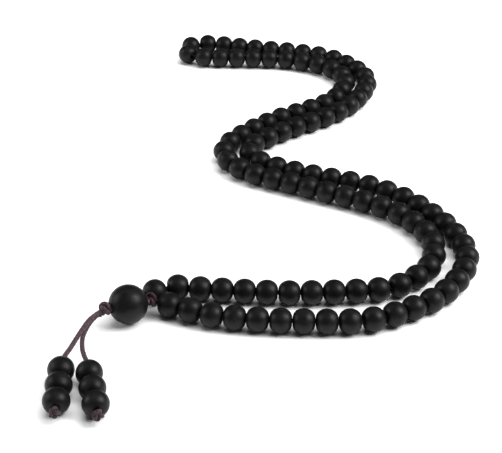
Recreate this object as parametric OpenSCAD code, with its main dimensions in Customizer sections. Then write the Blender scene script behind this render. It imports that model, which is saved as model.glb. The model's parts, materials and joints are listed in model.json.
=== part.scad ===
// Mala: 108 prayer beads on one cord, closed by a head bead, with two counter tails.
// The loop lies flat as a double strand in an S. X runs to the right along its first stretch,
// Y runs back towards its far tip, and the origin is on the table under the head bead.

/* [Beads] */
// Diameter of a loop or counter bead
bead_d = 8; // [7.9:0.05:8]
// Length of a bead between its two drilled faces
bead_len = 6.98; // [6.94:0.02:7]
// Radius that rounds a bead's side into its drilled faces
bead_round = 2.6; // [2.5:0.05:2.6]
// Hole through a bead
bead_bore = 1.8; // [1.75:0.05:1.85]
// Depth of the chamfer at each end of the hole
bead_chamfer = 0.12; // [0.1:0.01:0.14]
// Gap between the faces of two threaded beads
bead_gap = 0.04; // [0.03:0.01:0.06]

/* [Head bead] */
// Diameter of the head bead
guru_d = 12.3; // [12:0.1:12.3]
// Length of the head bead between its two drilled faces
guru_len = 11.7; // [11.6:0.05:11.7]
// Radius that rounds its side into its drilled faces
guru_round = 0.4; // [0.3:0.05:0.4]
// Hole through the head bead, for two cords side by side
guru_bore = 3.4; // [3.4:0.05:3.5]
// Direction of its hole, seen from above
guru_turn = 26; // [24:1:28]
// Slope of its hole down towards the loop
guru_slope = 4; // [3:1:5]

/* [Cord] */
// Diameter of the waxed cord
cord_d = 1.55; // [1.4:0.05:1.55]
// Distance between the two cords inside the head bead
cord_pair = 1.6; // [1.6:0.05:1.65]

/* [Knots] */
// Wraps of cord in the head knot
head_wraps = 4; // [3:1:4]
// Wraps of cord in the tail knot
tail_wraps = 3; // [2:1:3]
// Wraps of cord in each end knot
end_wraps = 2; // [1:1:3]

/* [Hidden] */
$fn = 48;

bead_r = bead_d / 2;
guru_r = guru_d / 2;
half_len = bead_len / 2;
// Centre of the rounding arc, along and out from a bead's hole
rim_x = half_len - bead_round;
rim_y = sqrt(pow(bead_r - bead_round, 2) - pow(rim_x, 2));
// Bend at which two threaded beads touch by their round sides
round_bend = 2 * atan(rim_y / rim_x);

tube_sides = 8;
span_steps = 10;
probe = 0.5;

// Length of one unit of the routes' points
lay = 0.92;

// Route of the front strand from the head knot to the tip, on the table
front_points = [
    [7.5, 4], [13, 3], [20.5, 0], [28, -3], [43.5, -5.5], [59, -6.5], [74.5, -6.5], [83, -5],
    [90, -2], [103, 6], [112.5, 17.5], [118, 32], [116, 47], [109, 61.5], [99, 74],
    [86.5, 83], [72.5, 88.5], [58.5, 94], [46, 101], [40.5, 109], [42.5, 117], [48, 122.5],
    [59.5, 132], [72, 140.5], [83, 151], [90.8, 165.4], [93.3, 177.2], [89.8, 188.8],
    [78.5, 201.5], [64.5, 207.5], [49.5, 211], [34.5, 214.5], [22.5, 217.5], [15.5, 217],
    [11, 214], [9.5, 210]
];
// Route of the back strand from the head knot to the tip, on the table
back_points = [
    [7.5, 4], [7.5, 10], [15, 13.5], [23, 12.5], [38.5, 11], [54, 10], [69.5, 10.5],
    [85, 12], [93, 15], [99.5, 20.5], [104.5, 27.5], [107, 39], [104.5, 50], [96, 62.5],
    [83, 71.5], [69, 78.5], [55.5, 85.5], [41.5, 92.5], [32.5, 101.5], [30, 111.5],
    [33, 119.5], [42.5, 131], [54, 141], [66.5, 149], [77.3, 158.5], [83.1, 172.8],
    [82.9, 181.2], [79.2, 188.2], [73, 194], [58.5, 200], [43, 201.5], [27.5, 202],
    [19.5, 202.5], [12.5, 205], [9.5, 210]
];
// Routes of the two tails from the tail knot to their end knots
left_points = [
    [-9.5, -5.6, 7], [-11.9, -8.8, 6.7], [-13.7, -12.8, 6.1], [-15.4, -17, 5.2],
    [-17, -21.5, 4.5], [-18.2, -25, 4.35], [-18.75, -28, 4.35], [-18.6, -33, 4.35],
    [-18.35, -41, 4.35], [-18.1, -49, 4.35], [-17.95, -54, 4.35]
];
right_points = [
    [-10.1, -4.5, 5.3], [-12, -7.3, 4.6], [-13.3, -11.5, 4], [-13.7, -16, 4.1],
    [-13.1, -21.3, 4.3], [-12.1, -25, 4.35], [-10.85, -28.5, 4.35], [-9.4, -34.5, 4.35],
    [-7.75, -41.5, 4.35], [-6.1, -48.5, 4.35], [-4.7, -54.5, 4.35]
];

front_count = 56;
back_count = 52;
counter_count = 3;
// Beads of each strand that lie before each fold line of the double strand
front_cuts = [0, 15, 18, 21, 24, 28, 32, 35, 38, 41, 44, 48, 51, 54, front_count];
back_cuts = [0, 13, 16, 19, 22, 26, 30, 32, 35, 39, 42, 44, 47, 50, back_count];
stretch_count = len(front_cuts) - 1;

// Distance along each route to its first bead
front_first = 5.7;
back_first = 6.5;
left_first = 26.5;
right_first = 28.4;

head_knot_at = [6.9, 3.7, 5.2];
head_knot_r = 1.4;
head_wrap_d = 1.2;
tail_knot_r = 1.65;
end_knot_r = 1.65;
knot_fit = 0.05;
// Share of its own thickness that each wrap lies above the last
wrap_pitch = 0.9;
wrap_sides = 24;
// Where the loop's cord starts on each route, inside the head knot
lead_in = 0.9;
// How far it runs straight on outside a bead before a sharp turn
lead_out = 1.05;
// How far the head bead's cords reach past it into the knots
guru_reach = 1.1;
tail_rings = 16;

function unit(v) = v / norm(v);
function flat(points) = [for (p = points) [p.x, p.y, bead_r / lay]];

// A route is three tables of distance along the route against x, y and z
function point_at(points, i) =
    i < 0 ? 2 * points[0] - points[1] :
    i >= len(points) ? 2 * points[len(points) - 1] - points[len(points) - 2] : points[i];
function blend(a, b, c, d, t) =
    (2 * b + (c - a) * t + (2 * a - 5 * b + 4 * c - d) * t * t
    + (3 * b - a - 3 * c + d) * t * t * t) / 2;
function curve(points) = [
    for (i = [0 : len(points) - 2], j = [0 : span_steps - 1])
        blend(point_at(points, i - 1), points[i], points[i + 1], point_at(points, i + 2),
            j / span_steps),
    points[len(points) - 1]
];
function distances(path) = [
    for (i = 0, s = 0; i < len(path);
        s = s + norm(path[min(i + 1, len(path) - 1)] - path[i]), i = i + 1) s
];
function route(points) =
    let (path = curve(points * lay), along = distances(path))
    [for (axis = [0 : 2]) [for (i = [0 : len(path) - 1]) [along[i], path[i][axis]]]];
function route_length(way) = way[0][len(way[0]) - 1][0];
function place(way, s) = [for (table = way) lookup(s, table)];
function heading(way, s) =
    let (end = route_length(way))
    unit(place(way, min(s + probe, end)) - place(way, max(s - probe, 0)));

// Threaded beads roll on their rounded rims, so a bend sets them further apart
function bend_over(way, s, reach) =
    acos(min(1, heading(way, s) * heading(way, s + reach)));
function chord(bend) =
    bead_gap + (bend >= round_bend ? bead_d :
        2 * (bead_round + rim_x * cos(bend / 2) + rim_y * sin(bend / 2)));
function step(way, s) =
    let (reach = chord(bend_over(way, s, bead_len)), wanted = chord(bend_over(way, s, reach)))
    reach + wanted - norm(place(way, s + reach) - place(way, s));
function thread(way, count, first) =
    [for (i = 0, s = first; i < count; s = s + step(way, s), i = i + 1) s];

front_way = route(flat(front_points));
back_way = route(flat(back_points));
left_way = route(left_points);
right_way = route(right_points);
front_beads = thread(front_way, front_count, front_first);
back_beads = thread(back_way, back_count, back_first);
left_beads = thread(left_way, counter_count, left_first);
right_beads = thread(right_way, counter_count, right_first);

guru_axis = [cos(guru_slope) * cos(guru_turn), cos(guru_slope) * sin(guru_turn),
    -sin(guru_slope)];
guru_at = [0, 0, guru_r];
tail_knot_at = guru_at - guru_axis * (guru_r + tail_knot_r + 2 * knot_fit);

// An end knot sits against the last counter of its tail
end_knot_half = ((end_wraps - 1) * wrap_pitch + 1) * cord_d / 2;
function end_station(beads) =
    beads[counter_count - 1] + half_len + knot_fit + end_knot_half;

function two_digits(n) = str(n < 10 ? "0" : "", n);
STRETCHES = [for (i = [0 : stretch_count - 1]) two_digits(i)];

// Turns a shape made along X to point along v, and moves it to a place
module aim(at, v) {
    translate(at)
        rotate([0, -asin(v.z), atan2(v.y, v.x)])
            children();
}

module on_route(way, s) {
    aim(place(way, s), heading(way, s)) children();
}

// Ball turned about X, with rounded drilled faces and a hole chamfered at both ends
module ball(d, length, round, bore) {
    r = d / 2;
    half = length / 2;
    hole_r = bore / 2;
    arc = [sqrt(pow(r - round, 2) - pow(half - round, 2)), half - round];
    side = arc * r / (r - round);
    rotate([0, 90, 0])
        rotate_extrude()
            difference() {
                intersection() {
                    union() {
                        difference() {
                            circle(r = r);
                            for (end = [-1, 1])
                                scale([1, end])
                                    polygon([arc, side, [side.x, r], [arc.x, r]]);
                        }
                        for (end = [-1, 1])
                            translate([arc.x, end * arc.y])
                                circle(r = round);
                    }
                    translate([hole_r, -half])
                        square([r, length]);
                }
                for (end = [-1, 1])
                    polygon([[hole_r, end * (half - bead_chamfer)],
                        [hole_r + bead_chamfer, end * half], [hole_r, end * half]]);
            }
}

// Ring of points round a cord at one place, square to its direction
function ring(at, v, d) =
    let (side = unit(cross(v, [0, 0, 1])), up = cross(side, v))
    [for (k = [0 : tube_sides - 1])
        at + d / 2 * (cos(k * 360 / tube_sides) * side + sin(k * 360 / tube_sides) * up)];
function direction(points, i) =
    unit(points[min(i + 1, len(points) - 1)] - points[max(i - 1, 0)]);

// Cord as one tube through a list of points
module tube(points, d) {
    last = len(points) - 1;
    rings = [for (i = [0 : last]) each ring(points[i], direction(points, i), d)];
    sides = [for (i = [0 : last - 1], k = [0 : tube_sides - 1])
        let (a = i * tube_sides + k, b = i * tube_sides + (k + 1) % tube_sides)
        [a, b, b + tube_sides, a + tube_sides]];
    near_end = [for (k = [tube_sides - 1 : -1 : 0]) k];
    far_end = [for (k = [0 : tube_sides - 1]) last * tube_sides + k];
    polyhedron(rings, concat([near_end], sides, [far_end]));
}

// Point on the cord beyond a bead's face: end is -1 before the bead and 1 after it
function beside(way, s, end) = place(way, s) + end * (half_len + lead_out) * heading(way, s);

// Points where the cord enters and leaves each bead from index a up to index b
function through(way, beads, a, b) = [
    for (i = [a : b - 1], end = [-half_len, half_len])
        place(way, beads[i]) + end * heading(way, beads[i])
];

// Knot of stacked wraps round a core, along Z
module wraps(count, outer_r, thick) {
    pitch = thick * wrap_pitch;
    ring_r = outer_r - thick / 2;
    height = (count - 1) * pitch;
    for (i = [0 : count - 1])
        translate([0, 0, i * pitch - height / 2])
            rotate_extrude()
                translate([ring_r, 0])
                    circle(d = thick, $fn = wrap_sides);
    cylinder(r = ring_r, h = height + thick / 2, center = true);
}

module guru_bead() {
    color("#1b1b1c")
        aim(guru_at, guru_axis)
            ball(guru_d, guru_len, guru_round, guru_bore);
}

// The two ends of the cord, side by side through the head bead from knot to knot
module guru_cords() {
    color("#5a4648")
        aim(guru_at, guru_axis)
            for (side = [-1, 1])
                translate([0, side * cord_pair / 2, 0])
                    rotate([0, 90, 0])
                        cylinder(d = cord_d, h = guru_d + 2 * guru_reach, center = true);
}

module head_knot() {
    color("#3a2c2f")
        translate(head_knot_at)
            wraps(head_wraps, head_knot_r, head_wrap_d);
}

module tail_knot() {
    color("#5a4648")
        translate(tail_knot_at)
            wraps(tail_wraps, tail_knot_r, cord_d);
}

// Cord of one tail, from beside the tail knot into its end knot
module tail_cord(way, beads) {
    end = end_station(beads);
    color("#6a5456")
        tube([for (i = [0 : tail_rings]) place(way, end * i / tail_rings)], cord_d);
}

module end_knot(way, beads) {
    color("#5a4648")
        on_route(way, end_station(beads))
            rotate([0, 90, 0])
                wraps(end_wraps, end_knot_r, cord_d);
}

module bead_run(way, beads, a, b) {
    color("#1b1b1c")
        for (i = [a : b - 1])
            on_route(way, beads[i])
                ball(bead_d, bead_len, bead_round, bead_bore);
}

// Cord of one stretch: the front strand and the back strand
module loop_cord(n) {
    first = n == 0;
    tip = n == stretch_count - 1;
    front = through(front_way, front_beads, front_cuts[n], front_cuts[n + 1]);
    back = through(back_way, back_beads, back_cuts[n], back_cuts[n + 1]);
    color("#3a2c2f") {
        if (tip) {
            turn = [beside(front_way, front_beads[front_count - 1], 1),
                beside(back_way, back_beads[back_count - 1], 1)];
            tube(concat(front, turn, [for (i = [len(back) - 1 : -1 : 0]) back[i]]), cord_d);
        } else {
            front_lead = [place(front_way, lead_in)];
            back_lead = [place(back_way, lead_in), beside(back_way, back_beads[0], -1)];
            tube(concat(first ? front_lead : [], front), cord_d);
            tube(concat(first ? back_lead : [], back), cord_d);
        }
    }
}

guru_bead();
guru_cords();
head_knot();
tail_knot();
tail_cord(left_way, left_beads);  // tail_cord_left
tail_cord(right_way, right_beads);  // tail_cord_right
end_knot(left_way, left_beads);  // end_knot_left
end_knot(right_way, right_beads);  // end_knot_right
for (i = [0 : counter_count - 1]) {
    bead_run(left_way, left_beads, i, i + 1);
    bead_run(right_way, right_beads, i, i + 1);
}
for (n = [0 : stretch_count - 1]) {
    loop_cord(n);
    bead_run(front_way, front_beads, front_cuts[n], front_cuts[n + 1]);
    bead_run(back_way, back_beads, back_cuts[n], back_cuts[n + 1]);
}
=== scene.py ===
import json
import math
import bpy
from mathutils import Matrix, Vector


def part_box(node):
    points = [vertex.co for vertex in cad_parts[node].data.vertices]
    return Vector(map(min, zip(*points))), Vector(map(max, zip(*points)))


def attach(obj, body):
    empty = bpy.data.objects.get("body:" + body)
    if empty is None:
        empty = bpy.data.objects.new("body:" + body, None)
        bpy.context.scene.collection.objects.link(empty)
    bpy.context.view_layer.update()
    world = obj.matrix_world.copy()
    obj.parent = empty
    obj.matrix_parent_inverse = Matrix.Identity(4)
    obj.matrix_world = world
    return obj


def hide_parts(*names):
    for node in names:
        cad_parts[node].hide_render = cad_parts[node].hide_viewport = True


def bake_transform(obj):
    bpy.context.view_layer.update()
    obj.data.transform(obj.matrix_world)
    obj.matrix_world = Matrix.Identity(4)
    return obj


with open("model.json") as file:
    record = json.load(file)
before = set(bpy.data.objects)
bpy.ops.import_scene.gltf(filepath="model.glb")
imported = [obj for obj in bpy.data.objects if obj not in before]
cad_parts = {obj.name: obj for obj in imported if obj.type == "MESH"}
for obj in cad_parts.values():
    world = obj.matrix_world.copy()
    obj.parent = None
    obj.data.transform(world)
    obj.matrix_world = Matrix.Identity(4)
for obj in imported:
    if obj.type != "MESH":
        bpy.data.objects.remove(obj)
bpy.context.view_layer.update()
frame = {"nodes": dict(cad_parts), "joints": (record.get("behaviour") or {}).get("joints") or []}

MM = 0.001
UP = Vector((0, 0, 1))
NODES = frame["nodes"]
JOINTS = {joint["name"]: joint for joint in frame["joints"]}


# ---------------------------------------------------------------- camera

LENS_MM = 92.58
SENSOR_MM = 36
CAMERA_AT = (0.03772, -0.32396, 0.23613)
CAMERA_TILT = 58.066


def make_camera():
    data = bpy.data.cameras.new("camera")
    data.lens = LENS_MM
    data.sensor_width = SENSOR_MM
    camera = bpy.data.objects.new("camera", data)
    camera.location = CAMERA_AT
    camera.rotation_euler = (math.radians(CAMERA_TILT), 0, 0)
    bpy.context.scene.collection.objects.link(camera)
    bpy.context.scene.camera = camera


# ---------------------------------------------------------------- materials

def new_material(name):
    """A node material, with its node tree and its shader."""
    material = bpy.data.materials.new(name)
    material.use_nodes = True
    return material, material.node_tree, material.node_tree.nodes["Principled BSDF"]


def add_node(tree, kind, **inputs):
    node = tree.nodes.new(kind)
    for name, value in inputs.items():
        node.inputs[name.replace("_", " ")].default_value = value
    return node


def object_noise(tree, scale, detail):
    """Noise that stays on the surface, with scale in features per metre."""
    where = tree.nodes.new("ShaderNodeTexCoord")
    noise = add_node(tree, "ShaderNodeTexNoise", Scale=scale, Detail=detail)
    tree.links.new(where.outputs["Object"], noise.inputs["Vector"])
    return noise


def ramp(tree, factor, low, high, start=0.0, end=1.0):
    """Colours from low to high as factor goes from start to end."""
    node = tree.nodes.new("ShaderNodeValToRGB")
    node.color_ramp.elements[0].position = start
    node.color_ramp.elements[0].color = (*low, 1)
    node.color_ramp.elements[1].position = end
    node.color_ramp.elements[1].color = (*high, 1)
    tree.links.new(factor, node.inputs["Fac"])
    return node.outputs["Color"]


def spread(tree, factor, low, high):
    """A number from low to high as factor goes over a noise's usual values."""
    node = add_node(tree, "ShaderNodeMapRange", From_Min=0.3, From_Max=0.7, To_Min=low, To_Max=high)
    tree.links.new(factor, node.inputs["Value"])
    return node.outputs["Result"]


def bump(tree, shader, height, distance, strength):
    node = add_node(tree, "ShaderNodeBump", Strength=strength, Distance=distance)
    tree.links.new(height, node.inputs["Height"])
    tree.links.new(node.outputs["Normal"], shader.inputs["Normal"])


CLOUD_DARK = 0.55
CLOUD_LIGHT = 1.5


def bead_material(name, shade):
    """Matte black: a faint cloud of charcoal tones, a fine tooth, and a broad soft gloss."""
    material, tree, shader = new_material(name)
    cloud = object_noise(tree, 420, 3)
    low = tuple(CLOUD_DARK * c for c in shade)
    high = tuple(CLOUD_LIGHT * c for c in shade)
    tree.links.new(ramp(tree, cloud.outputs["Fac"], low, high, 0.35, 0.7),
                   shader.inputs["Base Color"])
    smear = object_noise(tree, 900, 4)
    tree.links.new(spread(tree, smear.outputs["Fac"], 0.40, 0.48), shader.inputs["Roughness"])
    tooth = object_noise(tree, 9000, 2)
    bump(tree, shader, tooth.outputs["Fac"], 0.02 * MM, 0.35)
    shader.inputs["Specular IOR Level"].default_value = 0.16
    return material


def cord_material(name, dark, light):
    """Waxed twisted cord: fine threads, a little fuzz, and a random mottle of darker and lighter
    tones.
    """
    material, tree, shader = new_material(name)
    mottle = object_noise(tree, 1500, 4)
    tree.links.new(ramp(tree, mottle.outputs["Fac"], dark, light, 0.35, 0.68),
                   shader.inputs["Base Color"])
    threads = object_noise(tree, 5200, 3)
    bump(tree, shader, threads.outputs["Fac"], 0.08 * MM, 0.5)
    shader.inputs["Roughness"].default_value = 0.62
    shader.inputs["Specular IOR Level"].default_value = 0.3
    shader.inputs["Sheen Weight"].default_value = 0.12
    shader.inputs["Sheen Roughness"].default_value = 0.4
    return material


def floor_material():
    material, tree, shader = new_material("floor")
    grain = object_noise(tree, 60, 2)
    tree.links.new(ramp(tree, grain.outputs["Fac"], (0.84, 0.84, 0.84), (0.86, 0.86, 0.86)),
                   shader.inputs["Base Color"])
    shader.inputs["Roughness"].default_value = 0.9
    shader.inputs["Specular IOR Level"].default_value = 0.1
    return material


# ---------------------------------------------------------------- paths

SPAN_STEPS = 10


def catmull_rom(a, b, c, d, t):
    return (2 * b + (c - a) * t + (2 * a - 5 * b + 4 * c - d) * t * t
            + (3 * b - a - 3 * c + d) * t * t * t) / 2


def smooth(points):
    """The smooth curve through points, as the design draws its routes."""
    ends = [2 * points[0] - points[1], *points, 2 * points[-1] - points[-2]]
    path = [catmull_rom(*ends[i:i + 4], step / SPAN_STEPS)
            for i in range(len(points) - 1) for step in range(SPAN_STEPS)]
    return [*path, points[-1]]


def lengths(path):
    """Distance along the path to each of its points."""
    along = [0.0]
    for a, b in zip(path, path[1:]):
        along.append(along[-1] + (b - a).length)
    return along


def evenly(path, spacing):
    """The same path with its points spaced evenly."""
    along = lengths(path)
    count = max(2, round(along[-1] / spacing))
    out, i = [], 0
    for k in range(count + 1):
        wanted = along[-1] * k / count
        while i < len(path) - 2 and along[i + 1] < wanted:
            i += 1
        share = (wanted - along[i]) / (along[i + 1] - along[i])
        out.append(path[i].lerp(path[i + 1], share))
    return out


def headings(path):
    last = len(path) - 1
    return [(path[min(i + 1, last)] - path[max(i - 1, 0)]).normalized() for i in range(last + 1)]


def sides(along_path):
    """A direction square to the path at each point, carried along without twist."""
    first = along_path[0].cross(UP)
    if first.length < 0.1:
        first = along_path[0].cross(Vector((1, 0, 0)))
    side, out = first.normalized(), []
    for heading in along_path:
        side = (side - heading * side.dot(heading)).normalized()
        out.append(side)
    return out


# ---------------------------------------------------------------- cords

CORD_D = 1.55 * MM
PLIES = 3
PLY_DEPTH = 0.13
PLY_TURN = 3.9 * MM
# Width of a cord's cut end, as a share of the cord's
CUT_WIDTH = 0.55


class Shape:
    """Vertices and faces of one piece while it is made."""

    def __init__(self):
        self.points = []
        self.faces = []

    def tube(self, path, radius, around=24, depth=PLY_DEPTH, turn=PLY_TURN, taper=0.0):
        """A twisted cord along path, with rounded cut ends."""
        start = len(self.points)
        way = headings(path)
        side = sides(way)
        along = lengths(path)
        for at, heading, out, s in zip(path, way, side, along):
            other = heading.cross(out)
            from_end = min(s, along[-1] - s)
            narrow = 1.0
            if taper and from_end < taper:
                rounding = math.sqrt(1 - (1 - from_end / taper) ** 2)
                narrow = CUT_WIDTH + (1 - CUT_WIDTH) * rounding
            for k in range(around):
                angle = 2 * math.pi * k / around
                crown = (1 - math.cos(PLIES * (angle - 2 * math.pi * s / turn))) / 2
                r = radius * narrow * (1 - depth * crown)
                self.points.append(at + r * (math.cos(angle) * out + math.sin(angle) * other))
        for i in range(len(path) - 1):
            for k in range(around):
                a = start + i * around + k
                b = start + i * around + (k + 1) % around
                self.faces.append((a, b, b + around, a + around))
        self.faces.append(tuple(start + k for k in reversed(range(around))))
        last = start + (len(path) - 1) * around
        self.faces.append(tuple(last + k for k in range(around)))

    def piece(self, name, material, slot):
        mesh = bpy.data.meshes.new(name)
        mesh.from_pydata([tuple(p) for p in self.points], [], self.faces)
        mesh.update()
        for polygon in mesh.polygons:
            polygon.use_smooth = len(polygon.vertices) == 4
        mesh.materials.append(material)
        obj = bpy.data.objects.new(name, mesh)
        bpy.context.scene.collection.objects.link(obj)
        return obj


def centre(node):
    low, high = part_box(node)
    return (Vector(low) + Vector(high)) / 2


# The two tails' routes as in the design, from the tail knot to the end knots, in units of LAY
LAY = 0.92 * MM
LEFT_ROUTE = [
    (-9.5, -5.6, 7), (-11.9, -8.8, 6.7), (-13.7, -12.8, 6.1), (-15.4, -17, 5.2),
    (-17, -21.5, 4.5), (-18.2, -25, 4.35), (-18.75, -28, 4.35), (-18.6, -33, 4.35),
    (-18.35, -41, 4.35), (-18.1, -49, 4.35), (-17.95, -54, 4.35),
]
RIGHT_ROUTE = [
    (-10.1, -4.5, 5.3), (-12, -7.3, 4.6), (-13.3, -11.5, 4), (-13.7, -16, 4.1),
    (-13.1, -21.3, 4.3), (-12.1, -25, 4.35), (-10.85, -28.5, 4.35), (-9.4, -34.5, 4.35),
    (-7.75, -41.5, 4.35), (-6.1, -48.5, 4.35), (-4.7, -54.5, 4.35),
]
CORD_SPACING = 0.15 * MM


def up_to(path, end):
    """The path as far as its point nearest to end."""
    nearest = min(range(len(path)), key=lambda i: (path[i] - end).length)
    return path[:nearest + 1]


def tail_cord(side, route, material):
    """One tail's free cord, from inside the tail knot to inside its end knot."""
    points = [Vector(p) * LAY for p in route]
    path = evenly(smooth(points), CORD_SPACING)
    path = up_to(path, centre(f"end_knot_{side}"))
    root = centre("tail_knot")
    inside = path[0].lerp(Vector((root.x, root.y, path[0].z)), 0.6)
    path = evenly([inside, *path], CORD_SPACING)
    shape = Shape()
    shape.tube(path, CORD_D / 2)
    cord = shape.piece(f"tail_cord_{side}_twisted", material, "tail_cord")
    return cord, path


# ---------------------------------------------------------------- knots

KNOT_AROUND = 20
KNOT_STEPS = 180
KNOT_TURNS = 5
# A tight knot's parts, as shares of its radius
STRAND_SHARE = 0.29
SWING_SHARE = 0.27
CORE_SHARE = 0.5
# How far its strands press into each other
SQUEEZE = 1.12


def knot_path(at, axis, ring, swing, rise, phase):
    """The closed run of a tight overhand knot, whose three crossings lie round its axis."""
    out = axis.cross(UP).normalized()
    other = axis.cross(out)
    path = []
    for i in range(KNOT_STEPS):
        t = 2 * math.pi * i / KNOT_STEPS
        r = ring + swing * math.cos(3 * t)
        turn = 2 * t + phase
        path.append(at + r * (math.cos(turn) * out + math.sin(turn) * other)
                    + rise * math.sin(3 * t) * axis)
    return path


def closed_tube(shape, path, radius):
    """A twisted cord round a closed path."""
    around = KNOT_AROUND
    start = len(shape.points)
    count = len(path)
    way = [(path[(i + 1) % count] - path[i - 1]).normalized() for i in range(count)]
    side = sides(way)
    # What the carried direction has turned by, once round, is spread along the path
    slip = math.atan2(way[0].cross(side[0]).dot(side[-1]), side[0].dot(side[-1]))
    for i in range(count):
        other = way[i].cross(side[i])
        for k in range(around):
            angle = 2 * math.pi * k / around - slip * i / count
            crown = (1 - math.cos(PLIES * angle + 2 * math.pi * KNOT_TURNS * i / count)) / 2
            r = radius * (1 - PLY_DEPTH * crown)
            shape.points.append(
                path[i] + r * (math.cos(angle) * side[i] + math.sin(angle) * other))
    for i in range(count):
        for k in range(around):
            a, b = i * around + k, i * around + (k + 1) % around
            c, d = (i + 1) % count * around + (k + 1) % around, (i + 1) % count * around + k
            shape.faces.append(tuple(start + n for n in (a, b, c, d)))


def tight_knot(shape, at, axis, radius, half, phase):
    """A tight knot that fills a given radius and half length, with a core behind its strands."""
    strand = STRAND_SHARE * radius
    swing = SWING_SHARE * radius
    closed_tube(shape, knot_path(at, axis, radius - strand - swing, swing, half - strand, phase),
                strand * SQUEEZE)
    core = [at + axis * half * share for share in (-0.75, -0.4, 0, 0.4, 0.75)]
    shape.tube(core, radius * CORE_SHARE, KNOT_AROUND, depth=0, taper=half * 0.4)


def stub(shape, at, way, length, radius):
    """The cut end of a cord, sticking out of its knot."""
    path = evenly([at, at + way.normalized() * length], CORD_SPACING)
    shape.tube(path, radius, KNOT_AROUND, taper=radius * 0.6)


GURU_AT = Vector(JOINTS["guru_spin"]["pos_m"])
GURU_AXIS = Vector(JOINTS["guru_spin"]["axis"]).normalized()
GURU_FACE = 5.85 * MM


def head_knot(material):
    """Between the head bead and the loop, upright."""
    at = centre("head_knot")
    shape = Shape()
    tight_knot(shape, at, GURU_AXIS, 2.5 * MM, 1.3 * MM, 0.4)
    piece = shape.piece("head_knot_tied", material, "loop_cord")
    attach(piece, "base")
    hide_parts("head_knot")


def tail_knot(material):
    """Drawn up tight against the head bead."""
    at = GURU_AT - GURU_AXIS * (GURU_FACE + 1.75 * MM)
    shape = Shape()
    tight_knot(shape, at, GURU_AXIS, 2.3 * MM, 1.55 * MM, 2.1)
    piece = shape.piece("tail_knot_tied", material, "tail_cord")
    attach(piece, "base")
    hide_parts("tail_knot")


# Points of a tail's path that give the direction of its end
END_STEPS = 20


def end_knot(side, path, material):
    """Under the last counter, with one cut end of its cord."""
    at = centre(f"end_knot_{side}")
    axis = (path[-1] - path[-END_STEPS]).normalized()
    shape = Shape()
    tight_knot(shape, at, axis, 1.8 * MM, 1.3 * MM, 0.9 if side == "left" else 2.6)
    across = axis.cross(UP)
    stub(shape, at + across * 0.5 * MM, axis + 0.35 * across, 1.85 * MM, 0.58 * MM)
    piece = shape.piece(f"end_knot_{side}_tied", material, "tail_cord")
    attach(piece, f"tail_{side}")
    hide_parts(f"end_knot_{side}")
    return piece


def guru_cords(material):
    """The cord's two ends, side by side through the head bead, from knot to knot."""
    across = GURU_AXIS.cross(UP).normalized()
    shape = Shape()
    for side in (-1, 1):
        near = centre("tail_knot") + across * side * 0.28 * MM
        far = centre("head_knot") + across * side * 0.28 * MM
        mouths = [GURU_AT + GURU_AXIS * share * GURU_FACE + across * side * 0.8 * MM
                  for share in (-1, 0, 1)]
        shape.tube(evenly(smooth([near, *mouths, far]), 0.3 * MM), 0.775 * MM)
    piece = shape.piece("guru_cords_twisted", material, "tail_cord")
    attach(piece, "base")
    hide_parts("guru_cords")


# ---------------------------------------------------------------- the loop's cord

def solid_centres(node):
    """The centre of each separate solid of a CAD node, such as each bead of a run."""
    mesh = NODES[node].data
    keys = {}
    of_vertex = [keys.setdefault(tuple(round(c * 1e7) for c in v.co), len(keys))
                 for v in mesh.vertices]
    parent = list(range(len(keys)))

    def root(i):
        while parent[i] != i:
            parent[i] = parent[parent[i]]
            i = parent[i]
        return i

    for polygon in mesh.polygons:
        first, *others = [root(of_vertex[v]) for v in polygon.vertices]
        for other in others:
            parent[root(other)] = root(first)
    boxes = {}
    for vertex, key in zip(mesh.vertices, of_vertex):
        low, high = boxes.setdefault(root(key), (vertex.co.copy(), vertex.co.copy()))
        for axis in range(3):
            low[axis] = min(low[axis], vertex.co[axis])
            high[axis] = max(high[axis], vertex.co[axis])
    return [(low + high) / 2 for low, high in boxes.values()]


def strand(name, start):
    """Bead centres of one strand in their order on the cord, as one list for each stretch."""
    runs, last = [], start
    for n in STRETCHES:
        left, run = solid_centres(f"{name}_beads_{n}"), []
        while left:
            last = min(left, key=lambda p: (p - last).length)
            left.remove(last)
            run.append(last)
        runs.append(run)
    return runs


STRETCHES = sorted(node[-2:] for node in NODES if node.startswith("loop_cord_"))
LOOP_SPACING = 0.4 * MM
LOOP_AROUND = 15
# From a bead's centre to the cord just outside its hole
MOUTH_REACH = 4.5 * MM


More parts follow.
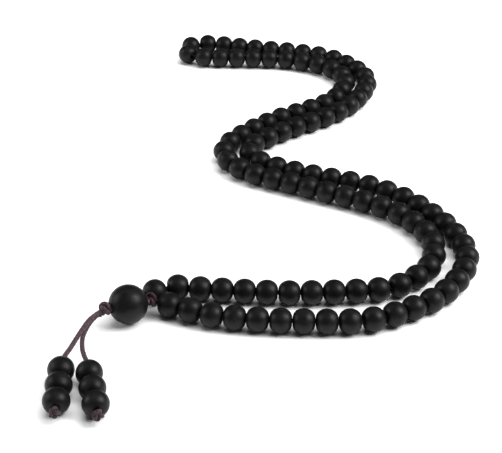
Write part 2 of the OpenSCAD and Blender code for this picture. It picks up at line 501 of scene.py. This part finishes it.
def loop_cord(material):
    """The cord through every loop bead, split inside a bead half way between fold lines."""
    knot = centre("head_knot")
    front = strand("front", knot)
    back = strand("back", knot)
    tip = (front[-1][-1] + back[-1][-1]) / 2
    low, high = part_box(f"loop_cord_{STRETCHES[-1]}")
    tip.x = low[0] + CORD_D / 2
    middle = len(STRETCHES) - 1
    for n in range(len(STRETCHES) + 1):
        shape = Shape()
        for runs in (front, back):
            if n == 0:
                first, second = runs[0][:2]
                mouth = first - (second - first).normalized() * MOUTH_REACH
                path = [knot, mouth, *runs[0][:len(runs[0]) // 2 + 1]]
            elif n <= middle:
                path = runs[n - 1][len(runs[n - 1]) // 2:] + runs[n][:len(runs[n]) // 2 + 1]
            elif runs is front:
                path = [*runs[-1][len(runs[-1]) // 2:], tip,
                        *reversed(back[-1][len(back[-1]) // 2:])]
            else:
                continue
            shape.tube(evenly(smooth(path), LOOP_SPACING), CORD_D / 2, LOOP_AROUND)
        if n == 0:
            piece = shape.piece("loop_cord_start", material, "loop_cord")
            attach(piece, "base")
            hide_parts(f"loop_cord_{STRETCHES[0]}")
        elif n <= middle:
            piece = shape.piece(f"loop_cord_fold_{STRETCHES[n]}", material, "loop_cord")
            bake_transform(piece)
            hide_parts(f"loop_cord_{STRETCHES[n]}")
        else:
            piece = shape.piece("loop_cord_tip", material, "loop_cord")
            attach(piece, f"stretch_{STRETCHES[-1]}")


# ---------------------------------------------------------------- beads

def dress_beads():
    bead = bead_material("bead_black", (0.0045, 0.0045, 0.0048))
    guru = bead_material("guru_black", (0.0042, 0.0042, 0.0045))
    for name, obj in NODES.items():
        if name == "guru_bead":
            give(obj, guru)
        elif "bead" in name or name.startswith("counter"):
            give(obj, bead)


def give(obj, material):
    obj.data.materials.clear()
    obj.data.materials.append(material)
    for polygon in obj.data.polygons:
        polygon.material_index = 0


# ---------------------------------------------------------------- floor and light

FLOOR_SIDE = 1.2
FLOOR_DROP = 0.02 * MM
LIT = Vector((0.042, 0.083, 0))


def floor():
    half = FLOOR_SIDE / 2
    corners = [(LIT.x + x, LIT.y + y, -FLOOR_DROP)
               for x, y in ((-half, -half), (half, -half), (half, half), (-half, half))]
    mesh = bpy.data.meshes.new("floor")
    mesh.from_pydata(corners, [], [(0, 1, 2, 3)])
    mesh.materials.append(floor_material())
    obj = bpy.data.objects.new("floor", mesh)
    bpy.context.scene.collection.objects.link(obj)


WORLD_ON_BEADS = 0.06
WORLD_SEEN = 1.0
OVERHEAD_AWAY = 1.5
SIDE_AWAY = 1.1


def softbox(name, direction, distance, width, power, shines=True):
    """A square light that faces the beads from a direction."""
    data = bpy.data.lights.new(name, "AREA")
    data.shape = "SQUARE"
    data.size = width
    data.energy = power
    obj = bpy.data.objects.new(name, data)
    way = Vector(direction).normalized()
    obj.location = LIT + way * distance
    obj.rotation_euler = way.to_track_quat("Z", "Y").to_euler()
    obj.visible_glossy = shines
    bpy.context.scene.collection.objects.link(obj)


def lighting():
    world = bpy.data.worlds.new("studio")
    bpy.context.scene.world = world
    world.use_nodes = True
    tree = world.node_tree
    tree.nodes.clear()
    output = tree.nodes.new("ShaderNodeOutputWorld")
    dim = add_node(tree, "ShaderNodeBackground", Color=(1, 1, 1, 1), Strength=WORLD_ON_BEADS)
    bright = add_node(tree, "ShaderNodeBackground", Color=(1, 1, 1, 1), Strength=WORLD_SEEN)
    rays = tree.nodes.new("ShaderNodeLightPath")
    mix = tree.nodes.new("ShaderNodeMixShader")
    tree.links.new(rays.outputs["Is Camera Ray"], mix.inputs["Fac"])
    tree.links.new(dim.outputs["Background"], mix.inputs[1])
    tree.links.new(bright.outputs["Background"], mix.inputs[2])
    tree.links.new(mix.outputs["Shader"], output.inputs["Surface"])
    softbox("overhead", (0.15, 0.25, 1), OVERHEAD_AWAY, 1.9, 44, shines=False)
    softbox("key_right", (0.705, -0.134, 0.691), SIDE_AWAY, 0.55, 15)
    softbox("fill_left", (-0.889, 0.03, 0.46), SIDE_AWAY, 0.5, 5)
    bpy.context.scene.view_settings.view_transform = "Standard"


# ---------------------------------------------------------------- the build


def build():
    make_camera()
    tail_material = cord_material("cord_mauve", (0.020, 0.008, 0.011), (0.062, 0.036, 0.043))
    # Head knot and loop cord: the tails' mauve cord, darkened with painted shade
    shaded_loop_cord_material = cord_material("cord_mauve_painted_shade", (0.010, 0.002, 0.004), (0.030, 0.009, 0.014))
    # End knots: the tails' mauve cord, darkened with painted shade of the knot's folds
    end_knot_shaded_material = cord_material("cord_mauve_knot_painted_shade", (0.013, 0.005, 0.008), (0.040, 0.022, 0.028))
    for side, route in (("left", LEFT_ROUTE), ("right", RIGHT_ROUTE)):
        cord, path = tail_cord(side, route, tail_material)
        knot = end_knot(side, path, end_knot_shaded_material)
        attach(cord, f"tail_{side}")
        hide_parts(f"tail_cord_{side}")
    guru_cords(tail_material)
    head_knot(shaded_loop_cord_material)
    tail_knot(tail_material)
    loop_cord(shaded_loop_cord_material)
    dress_beads()
    floor()
    lighting()


build()
